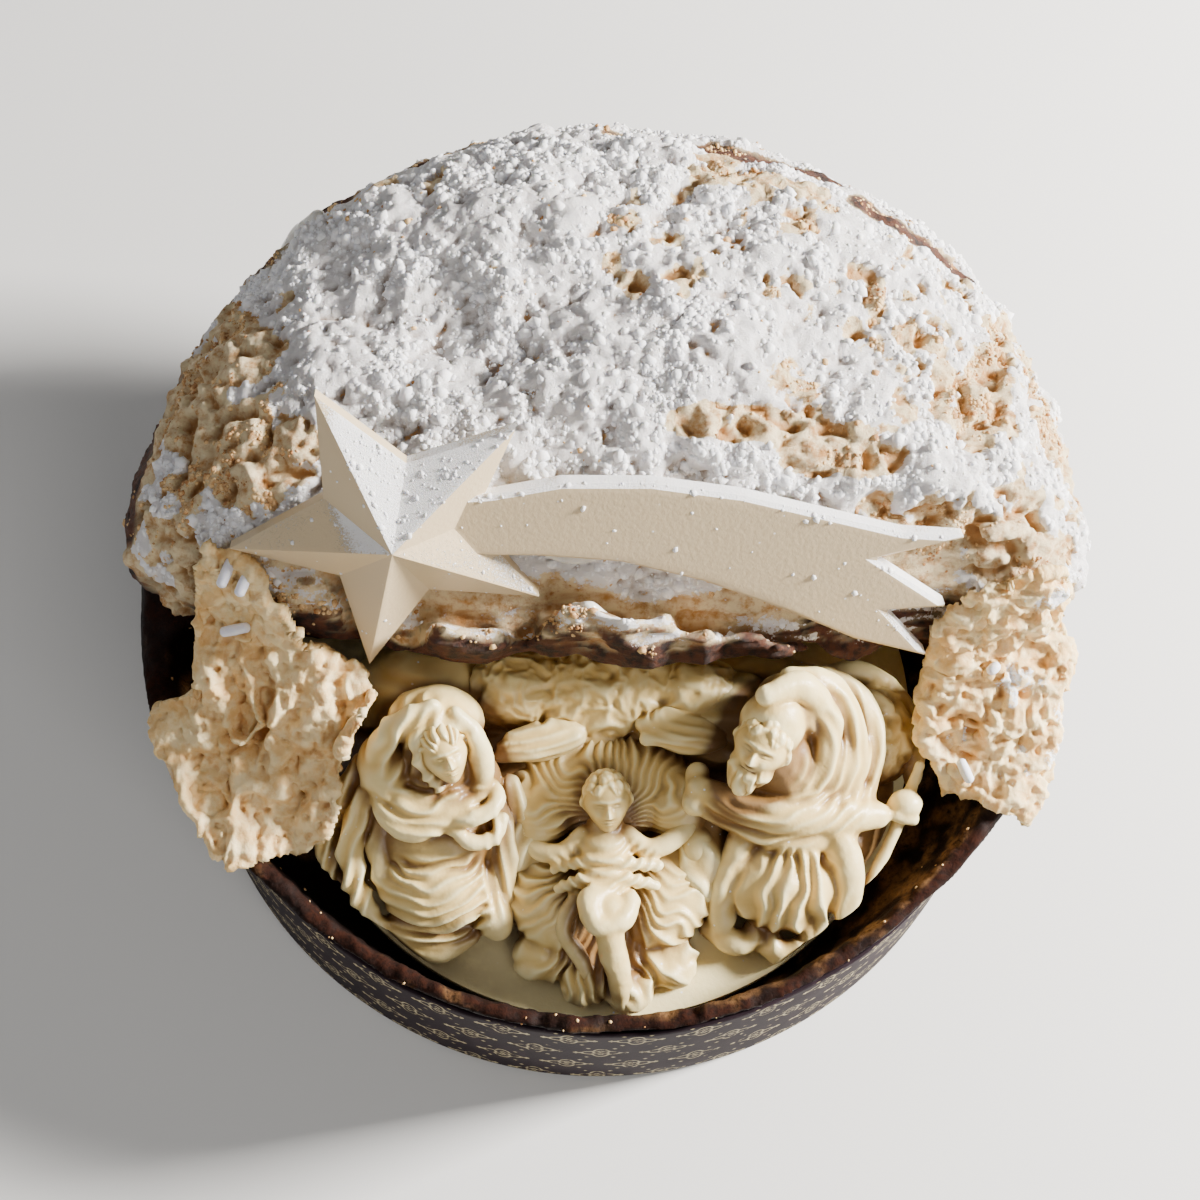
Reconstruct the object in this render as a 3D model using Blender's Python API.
# Panettone opened at the front: paper case, hollowed loaf, sugared cap, nativity group and comet.
import math

import bmesh
import bpy
import numpy as np
from mathutils import Vector, noise
from mathutils.bvhtree import BVHTree

# Frame: origin on the table under the middle of the paper case, X to the right, -Y to the front
MM = 0.001

# Paper case
CASE_RIM_RADIUS = 105.0 * MM
CASE_BASE_RADIUS = 107.0 * MM
CASE_HEIGHT = 58.0 * MM
CASE_WALL = 0.8 * MM
CASE_FOOT_ROUND = 2.6 * MM
CASE_RIM_WAVE = 0.5 * MM
CASE_RAYS = 56

# Gap kept between pieces that touch in the real thing
FIT_GAP = 0.35 * MM

# Hollowed lower loaf
NICHE_CENTRE_Y = -22.0 * MM
NICHE_FLOOR_Z = 40.7 * MM
NICHE_FOOT_RADIUS = 78.6 * MM
NICHE_FOOT_Z = 42.5 * MM
NICHE_BACK_Y = 6.0 * MM
NICHE_CORNER = 8.0 * MM
SHOULDER_Z = 72.0 * MM
SHOULDER_RADIUS = 110.0 * MM
BULGE_RADIUS = 112.5 * MM
FRONT_CREST_Z = 60.5 * MM
FRONT_WALL_RADIUS = 104.4 * MM
FRONT_WALL_INSIDE = 101.4 * MM
LOAF_RAYS = 72
LOAF_ROUGH = 0.9 * MM

# White chocolate disc in the niche
DISC_RADIUS = 77.0 * MM
DISC_BACK_Y = 4.0 * MM
DISC_TOP_Z = 45.0 * MM
DISC_THICKNESS = 4.0 * MM
DISC_EDGE_ROUND = 1.0 * MM
DISC_RAYS = 44

# Cap that covers the back of the loaf
CAP_CENTRE = (0.0, 42.0 * MM)
CAP_RADIUS = 112.6 * MM
CAP_SWELLS = (
    (48.0, 20.0, 6.0 * MM), (88.0, 20.0, 3.0 * MM), (122.0, 16.0, 3.0 * MM), (180.0, 14.0, 1.0 * MM),
)
CAP_FRONT_Y = -25.0 * MM
CAP_FRONT_BOW = 18.0 * MM
CAP_FRONT_CORNER = 14.0 * MM
CAP_BOTTOM_Z = 72.4 * MM
CAP_SIDE_WAIST_Z = 80.0 * MM
CAP_FRONT_WAIST_Z = 86.5 * MM
CAP_FRONT_BOTTOM_Z = 82.0 * MM
CAP_APEX_Z = 121.0 * MM
CAP_DOME_POWER = 2.5
CAP_RAYS = 92
CAP_LUMP = 2.6 * MM
CAP_VOXEL = 1.5 * MM
CAP_TRIANGLES = 3000

# Comet of white chocolate that leans on the front edge of the cap
COMET_CENTRE = Vector((-47.7, -3.7, 112.3)) * MM
COMET_NORMAL_AZIMUTH = 2.1
COMET_NORMAL_ELEVATION = 35.4
STAR_TIP_RADIUS = 36.3 * MM
STAR_NOTCH_RADIUS = 17.0 * MM
STAR_FIRST_TIP = 114.0
STAR_APEX = 11.0 * MM
COMET_BACK = 2.5 * MM
TAIL_FRONT = 3.0 * MM
COMET_CLEARANCE = 5.5
TAIL_TOP_EDGE = ((8.0, 8.5), (21.4, 9.1), (36.7, 11.8), (56.2, 11.3), (76.1, 7.8), (94.1, 2.9), (112.0, -2.6))
TAIL_TIPS = ((126.8, -4.0), (106.3, -9.2), (124.3, -22.4), (109.8, -23.0), (121.0, -36.0))
TAIL_LOW_EDGE = ((103.5, -30.6), (86.7, -22.1), (68.1, -14.0), (49.9, -8.5), (32.0, -6.5), (8.0, -5.5))

# Torn crumb pieces: outline points as (x, y, top z) in millimetres
LEFT_CENTRE = (-80.0, -36.0)
LEFT_OUTLINE = (
    (-92.8, -4.0, 92.0), (-79.5, -8.5, 93.0), (-70.5, -21.5, 88.0), (-52.0, -26.5, 84.0),
    (-54.2, -37.4, 79.0), (-62.6, -52.0, 70.0), (-60.3, -62.8, 64.0), (-73.2, -64.1, 63.0),
    (-87.0, -70.0, 62.0), (-97.9, -54.7, 65.0),
    (-106.6, -36.5, 69.0), (-103.3, -28.5, 72.0), (-94.5, -29.6, 80.0), (-93.7, -17.2, 88.0),
)
RIGHT_CENTRE = (92.0, -29.0)
RIGHT_OUTLINE = (
    (75.4, -15.4, 80.0), (86.4, -9.8, 84.0), (104.5, -6.0, 83.0), (110.5, -14.3, 78.0), (109.0, -32.3, 71.0),
    (105.5, -47.8, 65.0), (99.0, -58.0, 61.5), (90.0, -52.5, 62.0), (79.3, -47.1, 63.0), (74.2, -38.4, 69.0),
    (74.2, -27.0, 75.0),
)
TORN_THICKNESS = 13.0 * MM
TORN_DOME = 2.6 * MM
TORN_ROUGH = 1.3 * MM
TORN_REST_GAP = 0.7 * MM
TORN_SPREAD = 4.2 * MM
TORN_RAYS = 30

# Grains of pearl sugar fused to the torn pieces
GRAIN_RADIUS = 1.25 * MM

# Nativity group
GROUP_BOTTOM_Z = DISC_TOP_Z + 0.3 * MM
GROUP_VOXEL = 1.1 * MM
GROUP_REACH = 76.6 * MM
GROUP_TRIANGLES = 3100


def clear_scene():
    """Takes every object out of the start file."""
    for item in list(bpy.data.objects):
        bpy.data.objects.remove(item, do_unlink=True)


def make_material(name, colour, roughness):
    """A plain named finish."""
    material = bpy.data.materials.new(name)
    material.use_nodes = True
    shader = material.node_tree.nodes["Principled BSDF"]
    shader.inputs["Base Color"].default_value = (*colour, 1.0)
    shader.inputs["Roughness"].default_value = roughness
    material.diffuse_color = (*colour, 1.0)
    return material


def smooth_step(low, high, value):
    """Rises from 0 to 1 between low and high."""
    share = np.clip((value - low) / (high - low), 0.0, 1.0)
    return share * share * (3.0 - 2.0 * share)


def soft_min(first, second, width):
    """The smaller of two lengths with a rounded change-over."""
    share = np.clip(0.5 + 0.5 * (second - first) / width, 0.0, 1.0)
    return second * (1.0 - share) + first * share - width * share * (1.0 - share)


def bump(angle, middle, width):
    """A smooth swelling of height 1 round one angle, in degrees."""
    away = (angle - middle + 180.0) % 360.0 - 180.0
    return math.exp(-0.5 * (away / width) ** 2)


def rough(point, grain, seed):
    """Smooth random value between about -1 and 1 at a place."""
    return noise.noise(Vector(point) / grain + Vector((seed, 2.0 * seed, 0.5 * seed)))


def object_from_bmesh(name, shape, material, smooth=True):
    """Puts a bmesh into a named object with its finish."""
    bmesh.ops.recalc_face_normals(shape, faces=shape.faces[:])
    mesh = bpy.data.meshes.new(name)
    shape.to_mesh(mesh)
    shape.free()
    for polygon in mesh.polygons:
        polygon.use_smooth = smooth
    mesh.materials.append(material)
    item = bpy.data.objects.new(name, mesh)
    bpy.context.scene.collection.objects.link(item)
    return item


def solid_from_rings(name, rings, material):
    """Closes equal rings, given from the bottom centre outwards and up to the top centre."""
    shape = bmesh.new()
    rows = [[shape.verts.new(point) for point in ring] for ring in rings]
    count = len(rings[0])
    for lower, upper in zip(rows[:-1], rows[1:]):
        for here in range(count):
            there = (here + 1) % count
            shape.faces.new((lower[here], lower[there], upper[there], upper[here]))
    bottom = shape.verts.new(np.mean(np.array(rings[0]), axis=0))
    top = shape.verts.new(np.mean(np.array(rings[-1]), axis=0))
    for here in range(count):
        there = (here + 1) % count
        shape.faces.new((bottom, rows[0][there], rows[0][here]))
        shape.faces.new((top, rows[-1][here], rows[-1][there]))
    bmesh.ops.triangulate(shape, faces=shape.faces[:])
    return object_from_bmesh(name, shape, material)


def rim_height(angle):
    """Height of the slightly wavy paper rim."""
    return CASE_HEIGHT + CASE_RIM_WAVE * (0.6 * math.sin(5.0 * angle + 1.0) + 0.4 * math.sin(11.0 * angle))


def case_radius(height):
    """Outer radius of the paper case at a height."""
    share = height / CASE_HEIGHT
    foot = max(0.0, 1.0 - height / CASE_FOOT_ROUND)
    inset = CASE_FOOT_ROUND * (1.0 - math.sqrt(max(0.0, 1.0 - foot * foot)))
    return CASE_BASE_RADIUS + (CASE_RIM_RADIUS - CASE_BASE_RADIUS) * share - 0.6 * inset


def build_case(material):
    """Paper cup with a thin wall, a flat bottom and a wavy rim."""
    heights = (0.0, 1.2 * MM, CASE_FOOT_ROUND, 0.5 * CASE_HEIGHT)
    rings = []
    angles = [2.0 * math.pi * step / CASE_RAYS for step in range(CASE_RAYS)]

    def ring(radius, height):
        return [(radius * math.cos(a), radius * math.sin(a), height(a)) for a in angles]

    for level in heights:
        rings.append(ring(case_radius(level), lambda a, level=level: level))
    rings.append(ring(CASE_RIM_RADIUS, rim_height))
    rings.append(ring(CASE_RIM_RADIUS - CASE_WALL, rim_height))
    for level in reversed(heights[1:]):
        rings.append(ring(case_radius(level) - CASE_WALL, lambda a, level=level: max(level, CASE_WALL)))
    rings.append(ring(case_radius(0.0) - CASE_WALL, lambda a: CASE_WALL))
    return solid_from_rings("paper_case", rings, material)


def reach(direction, radius):
    """Distance from the niche centre along a direction to a circle round the origin."""
    along = NICHE_CENTRE_Y * direction[1]
    return -along + math.sqrt(along * along - NICHE_CENTRE_Y ** 2 + radius * radius)


def niche_reach(direction, radius, back):
    """Distance from the niche centre to the round front or the straight back of the niche."""
    if direction[1] <= 0.05:
        return radius
    return float(soft_min(radius, (back - NICHE_CENTRE_Y) / direction[1], NICHE_CORNER))


def build_loaf_base(material):
    """Lower loaf: solid at the back, a round niche with a thin torn wall at the front."""
    angles = [2.0 * math.pi * step / LOAF_RAYS for step in range(LOAF_RAYS)]
    count = 17
    rings = [[] for _ in range(count)]
    for angle in angles:
        direction = (math.cos(angle), math.sin(angle))
        outside = reach(direction, FRONT_WALL_RADIUS)
        place = (outside * direction[0], outside * direction[1] + NICHE_CENTRE_Y)
        bearing = math.degrees(math.atan2(place[1], place[0]))
        turn = math.radians(bearing)
        back = float(smooth_step(-14.0, 6.0, place[1] / MM))
        side = float(smooth_step(-88.0, -30.0, place[1] / MM))
        left = 1.0 if place[0] < 0.0 else 0.75
        swell = max(back, left * side)
        paper = rim_height(turn) + 0.7 * MM
        torn = 1.3 * MM * rough((place[0], place[1], 0.0), 9.0 * MM, 3.0)
        torn += 0.9 * MM * rough((place[0], place[1], 0.0), 4.0 * MM, 7.0)
        crest = FRONT_CREST_Z + 5.5 * MM * side * left + torn * (1.0 - back)
        crest += (SHOULDER_Z - crest) * back
        bulge = FRONT_WALL_RADIUS + (BULGE_RADIUS - FRONT_WALL_RADIUS) * swell
        lip = FRONT_WALL_RADIUS - 0.4 * MM + (SHOULDER_RADIUS - FRONT_WALL_RADIUS) * swell
        inner = FRONT_WALL_INSIDE + (0.5 * torn + 4.5 * MM * side * left)
        foot = niche_reach(direction, NICHE_FOOT_RADIUS, NICHE_BACK_Y)
        inside = reach(direction, inner)
        plateau = foot + 2.0 * MM
        top_in = inside + (plateau - inside) * back
        wall_top = inside + (foot + 0.8 * MM - inside) * back - 0.8 * MM * (1.0 - back)
        wall_mid = foot + (inside - foot) * 0.62 * (1.0 - back) + 0.6 * MM * back
        wall_low = foot + (inside - foot) * 0.28 * (1.0 - back) + 0.3 * MM * back
        rise = crest - NICHE_FOOT_Z
        foot_round = case_radius(CASE_FOOT_ROUND) - CASE_WALL - 1.5 * FIT_GAP
        overhang = CASE_RIM_RADIUS - CASE_WALL + (bulge - CASE_RIM_RADIUS) * 0.45
        rows = (
            (reach(direction, case_radius(0.0) - CASE_WALL - FIT_GAP), CASE_WALL + FIT_GAP),
            (reach(direction, case_radius(2.0 * MM) - CASE_WALL - 2.0 * FIT_GAP), 2.4 * MM),
            (reach(direction, foot_round), CASE_FOOT_ROUND + FIT_GAP),
            (reach(direction, case_radius(30.0 * MM) - CASE_WALL - FIT_GAP), 30.0 * MM),
            (reach(direction, CASE_RIM_RADIUS - CASE_WALL - FIT_GAP), paper),
            (reach(direction, overhang), paper + 0.15 * MM),
            (reach(direction, bulge - 1.6 * MM * swell), paper + (crest - paper) * 0.28),
            (reach(direction, bulge), paper + (crest - paper) * 0.6),
            (reach(direction, 0.5 * (bulge + lip)), paper + (crest - paper) * 0.88),
            (reach(direction, lip), crest - 0.2 * MM),
            (top_in, crest - 0.3 * MM * (1.0 - back)),
            (wall_top, crest - 2.4 * MM),
            (wall_mid, NICHE_FOOT_Z + rise * (0.42 + 0.13 * back)),
            (wall_low, NICHE_FOOT_Z + rise * (0.14 + 0.06 * back)),
            (foot, NICHE_FOOT_Z),
            (foot - 1.2 * MM, NICHE_FLOOR_Z + 0.1 * MM),
            (0.5 * foot, NICHE_FLOOR_Z),
        )
        free = (0, 0, 0, 0, 0, 0.2, 0.8, 1.0, 0.8, 0.3, 0.2, 0.7, 1.0, 0.8, 0.2, 0, 0)
        for row, (length, height) in enumerate(rows):
            spot = (direction[0] * length, direction[1] * length, height)
            shift = LOAF_ROUGH * free[row] * rough(spot, 11.0 * MM, 11.0)
            if row >= 11:
                shift = -abs(shift) * (1.0 - 0.5 * back) if row < 12 else abs(shift)
            length += shift
            rings[row].append((direction[0] * length, direction[1] * length + NICHE_CENTRE_Y, height))
    return solid_from_rings("loaf_base", rings, material)


def build_disc(material):
    """Flat chocolate plate with a rounded edge and a straight back."""
    rings = [[] for _ in range(6)]
    bottom = DISC_TOP_Z - DISC_THICKNESS
    for step in range(DISC_RAYS):
        angle = 2.0 * math.pi * step / DISC_RAYS
        direction = (math.cos(angle), math.sin(angle))
        edge = niche_reach(direction, DISC_RADIUS, DISC_BACK_Y)
        rows = [
            (edge - DISC_EDGE_ROUND, 0.0), (edge, DISC_EDGE_ROUND),
            (edge, DISC_THICKNESS - DISC_EDGE_ROUND),
            (edge - 0.3 * DISC_EDGE_ROUND, DISC_THICKNESS - 0.3 * DISC_EDGE_ROUND),
            (edge - DISC_EDGE_ROUND, DISC_THICKNESS), (0.6 * edge, DISC_THICKNESS),
        ]
        for row, (length, height) in enumerate(rows):
            y = direction[1] * length + NICHE_CENTRE_Y
            rings[row].append((direction[0] * length, y, bottom + height))
    return solid_from_rings("chocolate_disc", rings, material)


def comet_axes():
    """Right, up and outward directions of the comet."""
    azimuth = math.radians(COMET_NORMAL_AZIMUTH)
    elevation = math.radians(COMET_NORMAL_ELEVATION)
    outward = Vector((math.sin(azimuth) * math.cos(elevation), -math.cos(azimuth) * math.cos(elevation),
                      math.sin(elevation)))
    right = Vector((math.cos(azimuth), math.sin(azimuth), 0.0))
    return right, outward.cross(right), outward


def cap_outline(angle):
    """Distance from the cap centre to its outline, along one direction."""
    direction = (math.cos(angle), math.sin(angle))
    length = 0.0
    for _ in range(6):
        spot = (CAP_CENTRE[0] + direction[0] * length, CAP_CENTRE[1] + direction[1] * length)
        bearing = math.degrees(math.atan2(spot[1], spot[0]))
        swell = sum(height * bump(bearing, middle, width) for middle, width, height in CAP_SWELLS)
        radius = CAP_RADIUS + swell
        along = CAP_CENTRE[1] * direction[1]
        length = -along + math.sqrt(along * along - CAP_CENTRE[1] ** 2 + radius * radius)
    if direction[1] < -0.05:
        across = direction[0] / -direction[1]
        depth = CAP_CENTRE[1] - CAP_FRONT_Y
        chord = depth / -direction[1]
        for _ in range(5):
            sideways = min(1.0, abs(chord * direction[0]) / CAP_RADIUS)
            chord = (depth - CAP_FRONT_BOW * sideways ** 2.0) / -direction[1]
        torn = 1.5 * MM * math.sin(9.0 * across + 0.6) + 0.9 * MM * math.sin(23.0 * across)
        length = float(soft_min(length, chord + torn * min(1.0, -2.0 * direction[1]), CAP_FRONT_CORNER))
    return length


def comet_covers(across, along):
    """Whether a place in the comet's plane, in millimetres, lies behind the star or the tail."""
    if math.hypot(across, along) < 13.0:
        return True
    angle = (math.degrees(math.atan2(along, across)) - STAR_FIRST_TIP) % 72.0
    nearest = min(angle, 72.0 - angle)
    reach_here = (STAR_TIP_RADIUS + 6.0 * MM - (STAR_TIP_RADIUS - STAR_NOTCH_RADIUS) * nearest / 20.0) / MM
    if math.hypot(across, along) < max(reach_here, STAR_NOTCH_RADIUS / MM + 4.0):
        return True
    if not 0.0 < across < 131.0:
        return False
    low_edge = TAIL_LOW_EDGE[::-1] + TAIL_TIPS[-1:]
    top_edge = TAIL_TOP_EDGE + TAIL_TIPS[:1]
    low = np.interp(across, *zip(*low_edge))
    high = np.interp(across, *zip(*top_edge))
    return low - COMET_CLEARANCE < along < high + COMET_CLEARANCE


def under_comet(spot, axes):
    """Greatest height that stays clear of the back of the comet at a place."""
    right, up, outward = axes
    away = spot - COMET_CENTRE
    if not comet_covers(away.dot(right) / MM, away.dot(up) / MM):
        return 1.0
    depth = away.dot(outward) + COMET_BACK + 1.5 * MM
    return spot.z - depth / outward.z if depth > 0.0 else 1.0


def build_cap(material):
    """Domed cap with a broken front edge and lumpy sugar on its top."""
    axes = comet_axes()
    shares = (1.0, 0.985, 0.955, 0.91, 0.85, 0.78, 0.70, 0.61, 0.51, 0.40, 0.28, 0.14)
    rings = [[] for _ in range(5 + len(shares))]
    for step in range(CAP_RAYS):
        angle = 2.0 * math.pi * step / CAP_RAYS
        direction = (math.cos(angle), math.sin(angle))
        edge = cap_outline(angle)
        edge_y = CAP_CENTRE[1] + direction[1] * edge
        edge_x = direction[0] * edge
        middle = max(0.0, 1.0 - (edge_x / (100.0 * MM)) ** 2)
        front = float(smooth_step(10.0, -12.0, edge_y / MM)) * middle ** 0.7
        waist = CAP_SIDE_WAIST_Z + (CAP_FRONT_WAIST_Z - CAP_SIDE_WAIST_Z) * front
        bottom = CAP_BOTTOM_Z + (CAP_FRONT_BOTTOM_Z - CAP_BOTTOM_Z) * front
        ledge = edge - (11.0 - 4.0 * front) * MM
        lip = Vector((edge_x, edge_y, waist))
        waist = min(waist, under_comet(lip, axes))
        bottom = max(CAP_BOTTOM_Z, min(bottom, waist - 5.0 * MM))
        rows = [
            (0.45 * edge, CAP_BOTTOM_Z),
            (0.74 * edge, CAP_BOTTOM_Z + 0.5 * (bottom - CAP_BOTTOM_Z)),
            (ledge, bottom),
            (edge - 4.0 * MM + 2.0 * MM * front, bottom + 1.6 * MM),
            (edge - 0.8 * MM, 0.5 * (bottom + waist)),
        ]
        for share in shares:
            dome = (1.0 - share ** CAP_DOME_POWER) ** (1.0 / 2.2)
            rows.append((edge * share, waist + (CAP_APEX_Z - waist) * dome))
        for row, (length, height) in enumerate(rows):
            x = CAP_CENTRE[0] + direction[0] * length
            spot = Vector((x, CAP_CENTRE[1] + direction[1] * length, height))
            if row >= 4:
                spot.z = max(min(spot.z, under_comet(spot, axes)), bottom + 2.2 * MM)
            rings[row].append(tuple(spot))
    cap = solid_from_rings("loaf_top", rings, material)
    apply_modifier(cap, "REMESH", mode="VOXEL", voxel_size=CAP_VOXEL)
    normals = [vertex.normal.copy() for vertex in cap.data.vertices]
    for vertex, normal in zip(cap.data.vertices, normals):
        spot = vertex.co
        above = float(smooth_step(76.0, 84.0, spot.z / MM))
        lump = 0.65 * rough(spot, 15.0 * MM, 21.0) + 0.6 * rough(spot, 7.0 * MM, 33.0)
        spot += normal * CAP_LUMP * lump * above
        if normal.z < 0.0:
            spot.z = max(spot.z, CAP_BOTTOM_Z)
            continue
        spot.z = max(min(spot.z, under_comet(spot, axes)), CAP_BOTTOM_Z)
    apply_modifier(cap, "SMOOTH", factor=0.5, iterations=3)
    apply_modifier(cap, "DECIMATE", ratio=CAP_TRIANGLES / (2.0 * len(cap.data.polygons)))
    for vertex in cap.data.vertices:
        if vertex.co.z < CAP_BOTTOM_Z + 0.5 * MM:
            vertex.co.z = CAP_BOTTOM_Z
    for polygon in cap.data.polygons:
        polygon.use_smooth = True
    return cap


def extrude_outline(points, low, high, apex=None):
    """Prism over an outline, or a faceted pyramid when an apex is given."""
    shape = bmesh.new()
    lower = [shape.verts.new((x, y, low)) for x, y in points]
    upper = [shape.verts.new((x, y, high)) for x, y in points]
    count = len(points)
    shape.faces.new(tuple(reversed(lower)))
    for here in range(count):
        there = (here + 1) % count
        shape.faces.new((lower[here], lower[there], upper[there], upper[here]))
    if apex is None:
        shape.faces.new(tuple(upper))
    else:
        peak = shape.verts.new((0.0, 0.0, apex))
        for here in range(count):
            shape.faces.new((upper[here], upper[(here + 1) % count], peak))
    return shape


def place_on_comet(item):
    """Turns a shape drawn flat into the plane of the leaning comet."""
    right, up, outward = comet_axes()
    for vertex in item.data.vertices:
        flat = vertex.co.copy()
        vertex.co = COMET_CENTRE + right * flat.x + up * flat.y + outward * flat.z


def apply_modifier(item, kind, **settings):
    """Adds one modifier with its settings and applies it."""
    modifier = item.modifiers.new(kind.title(), kind)
    for key, value in settings.items():
        setattr(modifier, key, value)
    bpy.ops.object.select_all(action="DESELECT")
    bpy.context.view_layer.objects.active = item
    item.select_set(True)
    bpy.ops.object.modifier_apply(modifier=modifier.name)


def unite(item, other):
    """Exact union of two solids; the second one is removed."""
    apply_modifier(item, "BOOLEAN", operation="UNION", solver="EXACT", object=other)
    bpy.data.objects.remove(other, do_unlink=True)


def star_outline():
    """Corners of the star."""
    outline = []
    for step in range(10):
        angle = math.radians(STAR_FIRST_TIP + 36.0 * step)
        radius = STAR_TIP_RADIUS if step % 2 == 0 else STAR_NOTCH_RADIUS
        outline.append((radius * math.cos(angle), radius * math.sin(angle)))
    return outline


def tail_outline():
    """Corners of the tail."""
    return [(x * MM, y * MM) for x, y in TAIL_LOW_EDGE[::-1] + TAIL_TIPS[::-1] + TAIL_TOP_EDGE[::-1]]


def build_comet(material):
    """Five-pointed faceted star with a three-pointed tail."""
    star_shape = extrude_outline(star_outline(), -COMET_BACK, 0.8 * MM, STAR_APEX)
    star = object_from_bmesh("chocolate_comet", star_shape, material, smooth=False)
    tail_shape = extrude_outline(tail_outline(), -COMET_BACK + 0.2 * MM, TAIL_FRONT)
    tail = object_from_bmesh("tail", tail_shape, material, smooth=False)
    apply_modifier(tail, "BEVEL", width=0.9 * MM, segments=1, limit_method="ANGLE")
    unite(star, tail)
    place_on_comet(star)
    triangulate(star)
    return star


def triangulate(item):
    """Cuts every face of an object into triangles and cleans loose bits."""
    shape = bmesh.new()
    shape.from_mesh(item.data)
    bmesh.ops.remove_doubles(shape, verts=shape.verts[:], dist=0.00002)
    bmesh.ops.dissolve_degenerate(shape, edges=shape.edges[:], dist=0.00001)
    bmesh.ops.triangulate(shape, faces=shape.faces[:])
    shape.to_mesh(item.data)
    shape.free()


def surface_below(trees, spot, spread):
    """Highest surface of the given solids under a place and just round it."""
    highest = 0.0
    offsets = [(0.0, 0.0)] + [(math.cos(k * math.pi / 4.0), math.sin(k * math.pi / 4.0)) for k in range(8)]
    for scale in (0.5, 1.0):
        for dx, dy in offsets:
            start = Vector((spot[0] + spread * scale * dx, spot[1] + spread * scale * dy, 0.2))
            for tree in trees:
                hit = tree.ray_cast(start, Vector((0.0, 0.0, -1.0)))
                if hit[0] is not None:
                    highest = max(highest, hit[0].z)
    return highest


def outline_ray(centre, outline, angle):
    """Point of an outline polygon in one direction from its centre, with its height."""
    direction = np.array((math.cos(angle), math.sin(angle)))
    best = None
    for first, second in zip(outline, outline[1:] + outline[:1]):
        start = np.array(first[:2]) - np.array(centre)
        side = np.array(second[:2]) - np.array(first[:2])
        matrix = np.array((direction, -side)).T
        if abs(np.linalg.det(matrix)) < 1e-9:
            continue
        length, share = np.linalg.solve(matrix, start)
        if length > 0.0 and -1e-6 <= share <= 1.000001:
            height = first[2] + (second[2] - first[2]) * share
            if best is None or length > best[0]:
                best = (length, height)
    return best


def build_torn(name, centre, outline, neighbours, grains, seed, material):
    """Craggy slab of crumb that lies over its neighbours, with grains of sugar fused on."""
    trees = [BVHTree.FromPolygons([v.co.copy() for v in item.data.vertices],
                                  [tuple(p.vertices) for p in item.data.polygons]) for item in neighbours]
    under_shares = (0.25, 0.46, 0.64, 0.78, 0.9)
    upper_shares = (0.95, 0.84, 0.68, 0.46, 0.22)
    shares = [(share, -1) for share in under_shares] + [(1.0, 0)] + [(share, 1) for share in upper_shares]
    rings = [[] for _ in shares]
    heights = np.array([point[2] for point in outline])
    places = np.array([(point[0], point[1], 1.0) for point in outline])
    plane = np.linalg.lstsq(places, heights, rcond=None)[0]
    for step in range(TORN_RAYS):
        angle = 2.0 * math.pi * step / TORN_RAYS
        length, height = outline_ray(centre, list(outline), angle)
        for row, (share, kind) in enumerate(shares):
            x = (centre[0] + math.cos(angle) * length * share) * MM
            y = (centre[1] + math.sin(angle) * length * share) * MM
            flat = (plane[0] * x / MM + plane[1] * y / MM + plane[2]) * MM
            top = flat + (height * MM - flat) * share ** 3 + TORN_DOME * (1.0 - share ** 2)
            rested = surface_below(trees, (x, y), TORN_SPREAD) + TORN_REST_GAP
            lump = TORN_ROUGH * rough((x, y, 0.0), 8.0 * MM, seed)
            lump += 0.7 * TORN_ROUGH * rough((x, y, 0.0), 3.5 * MM, seed + 5.0)
            top = max(top + lump * (1.0 if share < 0.97 else 0.3), rested + 3.0 * MM)
            under = max(top - TORN_THICKNESS * (1.0 - 0.45 * share ** 4), rested)
            if kind < 0:
                z = under
            elif kind == 0:
                z = max(0.5 * (top + under), rested)
            else:
                z = top
            rings[row].append((x, y, z))
    piece = solid_from_rings(name, rings, material)
    for x, y, turn, length in grains:
        tree = BVHTree.FromPolygons([v.co.copy() for v in piece.data.vertices],
                                    [tuple(p.vertices) for p in piece.data.polygons])
        hit = tree.ray_cast(Vector((x * MM, y * MM, 0.2)), Vector((0.0, 0.0, -1.0)))
        grain = capsule("grain", length * MM, GRAIN_RADIUS, material)
        heading = Vector((math.cos(math.radians(turn)), math.sin(math.radians(turn)), 0.0))
        along = (heading - hit[1] * heading.dot(hit[1])).normalized()
        side = hit[1].cross(along)
        for vertex in grain.data.vertices:
            flat = vertex.co.copy()
            vertex.co = hit[0] + along * flat.x + side * flat.y + hit[1] * (flat.z + 0.55 * GRAIN_RADIUS)
        unite(piece, grain)
    triangulate(piece)
    for polygon in piece.data.polygons:
        polygon.use_smooth = True
    return piece


def capsule(name, length, radius, material):
    """Rounded rod along X."""
    shape = bmesh.new()
    bmesh.ops.create_uvsphere(shape, u_segments=8, v_segments=6, radius=radius)
    for vertex in shape.verts:
        vertex.co = Vector((vertex.co.z, vertex.co.y, -vertex.co.x))
        if abs(vertex.co.x) > 0.2 * radius:
            vertex.co.x += math.copysign(0.5 * length - radius, vertex.co.x)
    return object_from_bmesh(name, shape, material)


def add_ball(shape, centre, radii, turn=0.0):
    """One ellipsoid mass, turned about Z."""
    ball = bmesh.ops.create_icosphere(shape, subdivisions=3, radius=1.0)
    cosine, sine = math.cos(math.radians(turn)), math.sin(math.radians(turn))
    for vertex in ball["verts"]:
        x, y, z = vertex.co.x * radii[0], vertex.co.y * radii[1], vertex.co.z * radii[2]
        turned = Vector((cosine * x - sine * y, sine * x + cosine * y, z))
        vertex.co = (Vector(centre) + turned) * MM


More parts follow.
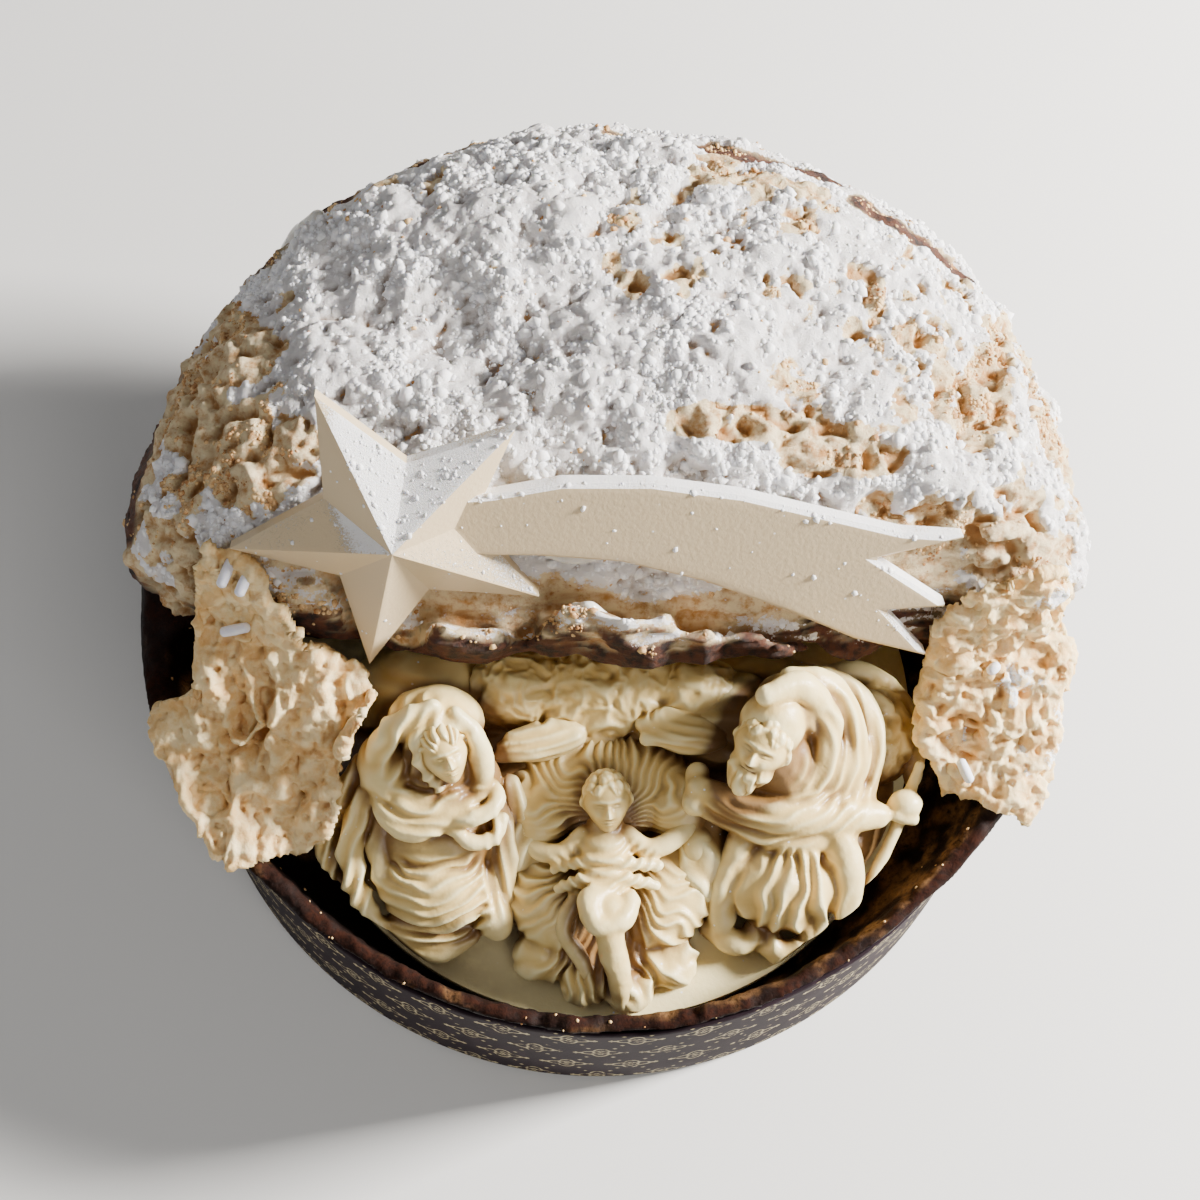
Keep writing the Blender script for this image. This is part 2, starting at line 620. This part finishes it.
def add_limb(shape, points, radii):
    """A rounded limb along a line of points with a radius at each."""
    for (start, end), (first, last) in zip(zip(points[:-1], points[1:]), zip(radii[:-1], radii[1:])):
        gap = (Vector(end) - Vector(start)).length
        steps = max(2, int(gap / (0.45 * min(first, last))) + 1)
        for step in range(steps + 1):
            share = step / steps
            spot = Vector(start).lerp(Vector(end), share)
            radius = first + (last - first) * share
            add_ball(shape, spot, (radius, radius, radius))


def chocolate_ground(shape):
    """Rough ground of chocolate that fills the space between the figures."""
    add_ball(shape, (0.0, -46.0, 47.0), (66.0, 33.0, 8.5))
    add_ball(shape, (-48.0, -44.0, 50.0), (18.0, 28.0, 9.5))
    add_ball(shape, (50.0, -42.0, 50.0), (21.0, 27.0, 9.5))
    add_ball(shape, (0.0, -20.0, 54.0), (58.0, 13.0, 13.0))
    add_ball(shape, (-46.0, -24.0, 58.0), (18.0, 12.0, 14.0))
    add_ball(shape, (30.0, -30.0, 58.0), (22.0, 12.0, 13.0))
    add_ball(shape, (-20.0, -52.0, 55.0), (9.0, 16.0, 9.0))
    add_ball(shape, (23.0, -58.0, 53.0), (8.0, 16.0, 9.0))


def kneeling_mother(shape):
    """Veiled figure that kneels on the left."""
    add_ball(shape, (-37.4, -43.4, 81.4), (5.4, 6.2, 7.3))
    add_ball(shape, (-38.8, -40.6, 82.4), (8.6, 8.4, 9.6))
    add_ball(shape, (-39.5, -36.0, 75.0), (11.0, 8.0, 11.5))
    add_ball(shape, (-51.0, -46.5, 73.0), (6.4, 8.2, 6.2), 10.0)
    add_limb(shape, ((-38.0, -36.0, 91.0), (-47.0, -39.0, 86.0), (-52.5, -44.0, 78.0),
                     (-53.0, -51.0, 72.0)),
             (2.4, 3.2, 3.6, 3.0))
    add_limb(shape, ((-33.0, -38.0, 88.0), (-29.5, -43.0, 82.0), (-28.5, -48.5, 75.0),
                     (-30.0, -53.0, 70.5)),
             (2.0, 2.6, 3.0, 2.6))
    add_limb(shape, ((-39.0, -41.0, 78.0), (-38.5, -45.0, 71.0), (-38.5, -50.0, 60.0)), (7.5, 9.5, 14.5))
    add_ball(shape, (-39.0, -48.0, 68.0), (15.0, 10.0, 8.0))
    add_ball(shape, (-38.5, -54.0, 56.0), (17.5, 16.5, 14.5))
    add_limb(shape, ((-53.0, -50.0, 72.0), (-50.0, -58.0, 71.0), (-43.5, -61.0, 70.5),
                     (-37.0, -58.5, 71.5)),
             (2.2, 2.6, 2.6, 2.3))
    add_limb(shape, ((-50.0, -45.0, 76.5), (-47.0, -53.0, 74.5), (-41.0, -56.0, 73.5),
                     (-35.0, -53.5, 74.5)),
             (1.7, 2.1, 2.1, 1.7))
    add_limb(shape, ((-36.5, -57.5, 71.5), (-30.5, -58.5, 73.0), (-25.0, -54.5, 72.5),
                     (-27.0, -50.0, 71.5), (-33.0, -53.5, 71.5)),
             (1.7, 2.0, 2.0, 1.8, 1.6))
    add_limb(shape, ((-36.0, -59.0, 71.0), (-31.0, -63.0, 69.0), (-25.5, -61.5, 68.0),
                     (-24.0, -57.0, 68.5)),
             (1.7, 2.0, 2.0, 1.6))
    add_limb(shape, ((-37.0, -60.0, 70.5), (-35.5, -66.0, 66.5), (-36.0, -71.0, 62.5)), (1.9, 2.0, 1.3))
    add_limb(shape, ((-38.5, -60.0, 70.5), (-41.5, -65.0, 67.0), (-44.0, -69.0, 63.0)), (1.9, 2.0, 1.3))
    add_ball(shape, (-38.5, -68.0, 54.5), (15.0, 12.5, 9.6))
    add_ball(shape, (-41.0, -78.0, 49.5), (11.0, 6.0, 4.8))
    add_ball(shape, (-26.3, -75.0, 52.0), (5.0, 7.6, 6.8), 20.0)
    add_limb(shape, ((-52.0, -50.0, 70.0), (-57.5, -56.0, 66.0), (-59.0, -66.0, 60.0),
                     (-55.5, -75.0, 54.0), (-49.5, -81.0, 49.5)),
             (3.0, 3.2, 3.0, 2.8, 2.2))
    add_limb(shape, ((-55.0, -44.0, 69.0), (-62.0, -52.0, 63.0), (-65.0, -62.0, 56.5),
                     (-62.0, -71.0, 50.5)),
             (3.2, 3.4, 3.0, 2.4))
    add_limb(shape, ((-50.0, -52.0, 68.0), (-52.5, -60.0, 63.0), (-51.5, -68.5, 58.0),
                     (-46.0, -77.0, 52.0)),
             (2.6, 2.7, 2.5, 2.0))
    add_limb(shape, ((-27.0, -52.0, 67.0), (-24.0, -60.0, 62.0), (-23.0, -68.0, 57.0),
                     (-24.5, -77.0, 50.0)),
             (3.2, 3.2, 3.0, 2.4))
    add_limb(shape, ((-22.0, -48.0, 65.0), (-19.5, -55.0, 62.0), (-20.0, -62.0, 58.0)), (2.6, 2.8, 2.2))
    add_limb(shape, ((-31.0, -80.5, 48.5), (-38.0, -84.0, 48.0), (-46.5, -83.0, 48.0)), (2.6, 2.9, 2.4))


def infant(shape):
    """Infant in swaddling cloth with one knee bent."""
    add_ball(shape, (0.3, -53.0, 68.4), (5.4, 6.1, 7.2))
    add_ball(shape, (0.0, -57.5, 62.0), (4.4, 5.0, 4.4))
    add_ball(shape, (0.0, -62.5, 59.5), (7.4, 6.4, 7.0))
    add_ball(shape, (0.0, -69.0, 58.5), (6.6, 7.0, 6.6))
    add_limb(shape, ((-5.0, -59.5, 63.0), (-11.0, -62.0, 63.0), (-18.0, -61.0, 61.5),
                     (-22.0, -63.5, 59.5)),
             (2.6, 2.6, 2.3, 2.0))
    add_limb(shape, ((5.0, -59.5, 63.0), (12.0, -61.0, 63.5), (19.0, -58.5, 63.0), (24.0, -60.0, 61.5)),
             (2.6, 2.6, 2.3, 2.0))
    add_limb(shape, ((2.5, -71.5, 62.0), (-3.5, -76.0, 65.5), (-1.5, -81.0, 65.0), (3.5, -79.5, 64.0),
                     (5.5, -75.0, 62.5)),
             (3.0, 3.0, 2.9, 2.8, 2.6))
    add_limb(shape, ((0.5, -80.5, 64.0), (2.0, -86.0, 59.0), (4.0, -92.0, 52.0), (4.5, -95.0, 48.5)),
             (3.4, 3.4, 3.0, 2.8))
    add_limb(shape, ((-5.0, -72.0, 59.0), (-8.5, -80.0, 57.5), (-4.0, -88.0, 53.5), (-2.0, -93.5, 49.0)),
             (3.0, 2.8, 2.4, 2.2))
    add_limb(shape, ((6.5, -74.0, 59.5), (9.5, -81.0, 57.0), (9.0, -88.5, 52.0)), (2.4, 2.4, 2.0))


def straw_fans(shape):
    """Fans of straw and cloth round the infant."""
    add_ball(shape, (0.5, -70.0, 47.5), (23.0, 22.0, 6.5))
    add_ball(shape, (-12.5, -70.0, 52.0), (11.0, 15.0, 6.6), 20.0)
    add_ball(shape, (15.0, -69.0, 52.5), (11.5, 15.0, 7.0), -20.0)
    add_ball(shape, (-14.0, -84.0, 47.5), (7.5, 7.0, 4.8), 25.0)
    add_ball(shape, (-4.0, -91.0, 47.5), (6.4, 5.6, 4.6), 10.0)
    add_ball(shape, (6.0, -92.5, 47.5), (6.4, 5.6, 4.6), -10.0)
    add_ball(shape, (15.0, -85.5, 47.5), (8.0, 7.0, 5.0), -25.0)
    add_ball(shape, (0.0, -46.0, 59.0), (23.0, 12.0, 8.0))
    add_ball(shape, (-15.0, -52.0, 58.0), (8.5, 10.0, 8.0), -25.0)
    add_ball(shape, (17.0, -50.0, 58.5), (8.5, 10.0, 8.0), 25.0)
    add_ball(shape, (22.0, -60.0, 56.0), (5.0, 7.0, 6.5), -10.0)


def woolly_beast(shape):
    """Woolly back and head behind the infant, with two leaf-shaped ears."""
    add_ball(shape, (0.0, -24.0, 59.0), (33.0, 12.0, 12.5))
    add_ball(shape, (-1.3, -28.0, 65.0), (11.5, 8.6, 8.8))
    add_ball(shape, (-1.5, -35.5, 62.0), (7.0, 6.6, 6.8))
    add_ball(shape, (-21.0, -24.5, 62.0), (12.5, 9.0, 9.6))
    add_ball(shape, (22.0, -25.5, 62.5), (12.5, 9.0, 9.6))
    add_ball(shape, (-15.0, -38.0, 66.0), (10.8, 4.6, 3.4), 10.0)
    add_ball(shape, (18.5, -35.8, 67.4), (10.8, 5.0, 3.6), -10.0)
    add_limb(shape, ((-25.0, -41.5, 65.0), (-17.0, -41.0, 67.2), (-7.0, -37.0, 67.4)), (1.3, 1.8, 1.6))
    add_limb(shape, ((28.5, -35.0, 67.6), (19.5, -37.8, 69.6), (9.5, -37.6, 68.4)), (1.3, 1.8, 1.6))
    add_limb(shape, ((-6.0, -29.0, 74.0), (-2.5, -35.0, 72.0), (-0.5, -39.5, 68.0)), (2.0, 2.4, 1.7))
    add_limb(shape, ((5.5, -28.5, 74.0), (2.0, -34.5, 72.0), (0.0, -39.5, 68.0)), (2.0, 2.4, 1.7))


def standing_father(shape):
    """Bearded figure in a wide cloak, with one arm on a staff."""
    add_ball(shape, (35.2, -43.2, 84.0), (5.8, 6.6, 7.8))
    add_ball(shape, (33.8, -47.5, 77.5), (4.5, 4.2, 5.4))
    add_ball(shape, (37.5, -38.5, 83.5), (7.6, 7.6, 8.6))
    add_ball(shape, (43.0, -33.0, 78.5), (9.0, 8.4, 10.0))
    add_limb(shape, ((35.0, -35.0, 93.0), (43.5, -31.5, 90.0), (50.0, -36.5, 81.0), (50.5, -45.5, 73.0),
                     (44.5, -52.0, 69.0)),
             (2.4, 3.4, 3.6, 3.4, 2.8))
    add_limb(shape, ((42.0, -28.0, 85.0), (52.0, -29.0, 81.0), (57.5, -37.0, 73.0), (57.0, -46.5, 67.0),
                     (51.0, -52.5, 65.0)),
             (2.8, 3.4, 3.6, 3.4, 2.8))
    add_limb(shape, ((51.0, -24.5, 76.0), (60.0, -28.0, 71.5), (63.5, -38.0, 66.0), (62.0, -48.0, 61.5)),
             (2.8, 3.3, 3.4, 2.8))
    add_limb(shape, ((37.0, -42.0, 79.0), (41.0, -43.0, 70.0), (44.0, -48.0, 60.0)), (7.0, 10.0, 14.0))
    add_ball(shape, (48.0, -40.0, 65.0), (15.5, 12.5, 11.5))
    add_ball(shape, (49.5, -50.0, 59.5), (15.5, 10.5, 10.0))
    add_limb(shape, ((22.0, -49.5, 68.0), (31.0, -53.5, 68.5), (43.0, -56.0, 68.0), (56.0, -55.5, 65.0)),
             (2.8, 3.7, 4.2, 3.8))
    add_limb(shape, ((24.0, -53.5, 66.0), (34.0, -57.5, 66.0), (46.0, -60.0, 65.0), (57.0, -59.0, 62.0)),
             (1.8, 2.2, 2.4, 2.0))
    add_limb(shape, ((56.0, -55.0, 65.0), (64.0, -54.0, 62.5)), (4.6, 3.4))
    add_ball(shape, (71.0, -51.0, 61.5), (4.2, 3.6, 3.8), 15.0)
    add_limb(shape, ((68.5, -54.0, 62.5), (73.0, -54.5, 60.5)), (1.5, 1.4))
    add_limb(shape, ((21.8, -45.5, 66.0), (20.8, -52.5, 66.5)), (3.0, 3.2))
    add_ball(shape, (43.0, -66.0, 54.0), (15.0, 14.0, 10.0))
    add_limb(shape, ((53.0, -57.0, 64.0), (57.0, -66.0, 60.0), (57.5, -79.0, 50.0)), (4.0, 3.9, 3.0))
    add_limb(shape, ((46.0, -60.0, 63.5), (48.5, -70.0, 59.5), (49.5, -82.0, 50.0)), (3.2, 3.2, 2.6))
    add_limb(shape, ((32.5, -60.0, 62.0), (28.5, -70.0, 56.0), (27.5, -79.0, 49.5)), (3.6, 3.4, 2.8))
    add_ball(shape, (30.0, -79.5, 48.0), (5.6, 4.2, 3.6), 10.0)
    add_ball(shape, (38.5, -83.0, 48.0), (5.6, 4.2, 3.6))
    add_ball(shape, (47.0, -83.5, 48.0), (5.6, 4.2, 3.8))
    add_ball(shape, (55.0, -79.0, 48.0), (4.8, 4.2, 3.8), 20.0)
    add_limb(shape, ((75.0, -42.0, 63.0), (67.5, -60.0, 56.5), (58.5, -77.0, 49.0)), (1.7, 1.7, 1.7))


def lamb(shape):
    """Round back of a lamb at the far right."""
    add_ball(shape, (64.0, -32.0, 56.0), (11.6, 13.0, 10.5))
    add_limb(shape, ((52.0, -20.0, 60.0), (61.0, -18.0, 62.0), (70.0, -22.0, 60.0), (75.5, -32.0, 57.0),
                     (75.0, -43.0, 55.0)),
             (2.6, 2.8, 2.8, 2.8, 2.4))
    add_limb(shape, ((61.0, -25.0, 67.0), (67.0, -29.0, 65.0), (69.5, -36.0, 62.0)), (1.8, 2.0, 1.6))


FIGURES = (chocolate_ground, kneeling_mother, infant, straw_fans, woolly_beast, standing_father, lamb)


def keep_largest_body(item):
    """Drops every loose shell but the largest one."""
    shape = bmesh.new()
    shape.from_mesh(item.data)
    left = set(shape.verts)
    shells = []
    while left:
        seed = left.pop()
        shell = {seed}
        front = [seed]
        while front:
            vertex = front.pop()
            for edge in vertex.link_edges:
                other = edge.other_vert(vertex)
                if other not in shell:
                    shell.add(other)
                    front.append(other)
        left -= shell
        shells.append(shell)
    shells.sort(key=len)
    for shell in shells[:-1]:
        bmesh.ops.delete(shape, geom=list(shell), context="VERTS")
    shape.to_mesh(item.data)
    shape.free()


def build_group(material):
    """All figures of the group melted into one piece of chocolate with a flat underside."""
    shape = bmesh.new()
    for figure in FIGURES:
        figure(shape)
    group = object_from_bmesh("nativity_group", shape, material)
    apply_modifier(group, "REMESH", mode="VOXEL", voxel_size=GROUP_VOXEL)
    keep_largest_body(group)
    apply_modifier(group, "SMOOTH", factor=0.6, iterations=3)
    for vertex in group.data.vertices:
        spot = vertex.co
        length = math.hypot(spot.x, spot.y - NICHE_CENTRE_Y)
        limit = GROUP_REACH + 0.7 * max(0.0, spot.z - 52.0 * MM)
        if length > limit:
            spot.x *= limit / length
            spot.y = NICHE_CENTRE_Y + (spot.y - NICHE_CENTRE_Y) * limit / length
    faces = len(group.data.polygons) * 2
    apply_modifier(group, "DECIMATE", ratio=GROUP_TRIANGLES / faces)
    block_shape = bmesh.new()
    bmesh.ops.create_cube(block_shape, size=1.0)
    for vertex in block_shape.verts:
        vertex.co = Vector((vertex.co.x * 0.4, vertex.co.y * 0.4, (vertex.co.z - 0.5) * 0.1 + GROUP_BOTTOM_Z))
    block = object_from_bmesh("block", block_shape, material)
    apply_modifier(group, "BOOLEAN", operation="DIFFERENCE", solver="EXACT", object=block)
    bpy.data.objects.remove(block, do_unlink=True)
    triangulate(group)
    keep_largest_body(group)
    for polygon in group.data.polygons:
        polygon.use_smooth = True
    return group


def main():
    """Builds every piece in place."""
    clear_scene()
    paper = make_material("case_paper", (0.11, 0.05, 0.07), 0.6)
    crust = make_material("crust", (0.16, 0.07, 0.03), 0.55)
    sugared = make_material("sugared_crust", (0.86, 0.80, 0.70), 0.9)
    crumb = make_material("crumb", (0.83, 0.66, 0.42), 0.9)
    chocolate = make_material("white_chocolate", (0.90, 0.82, 0.66), 0.42)

    build_case(paper)
    base = build_loaf_base(crust)
    disc = build_disc(chocolate)
    cap = build_cap(sugared)
    build_comet(chocolate)
    group = build_group(chocolate)
    neighbours = (base, disc, cap, group)
    left_grains = ((-85.6, -11.5, 95.0, 6.5), (-81.0, -14.5, 70.0, 5.0), (-84.2, -20.0, 10.0, 6.5))
    build_torn("torn_crumb_left", LEFT_CENTRE, LEFT_OUTLINE, neighbours, left_grains, 4.0, crumb)
    right_grains = ((84.0, -45.0, 120.0, 5.5), (90.0, -24.0, 40.0, 3.4))
    build_torn("torn_crumb_right", RIGHT_CENTRE, RIGHT_OUTLINE, neighbours, right_grains, 9.0, crumb)


main()
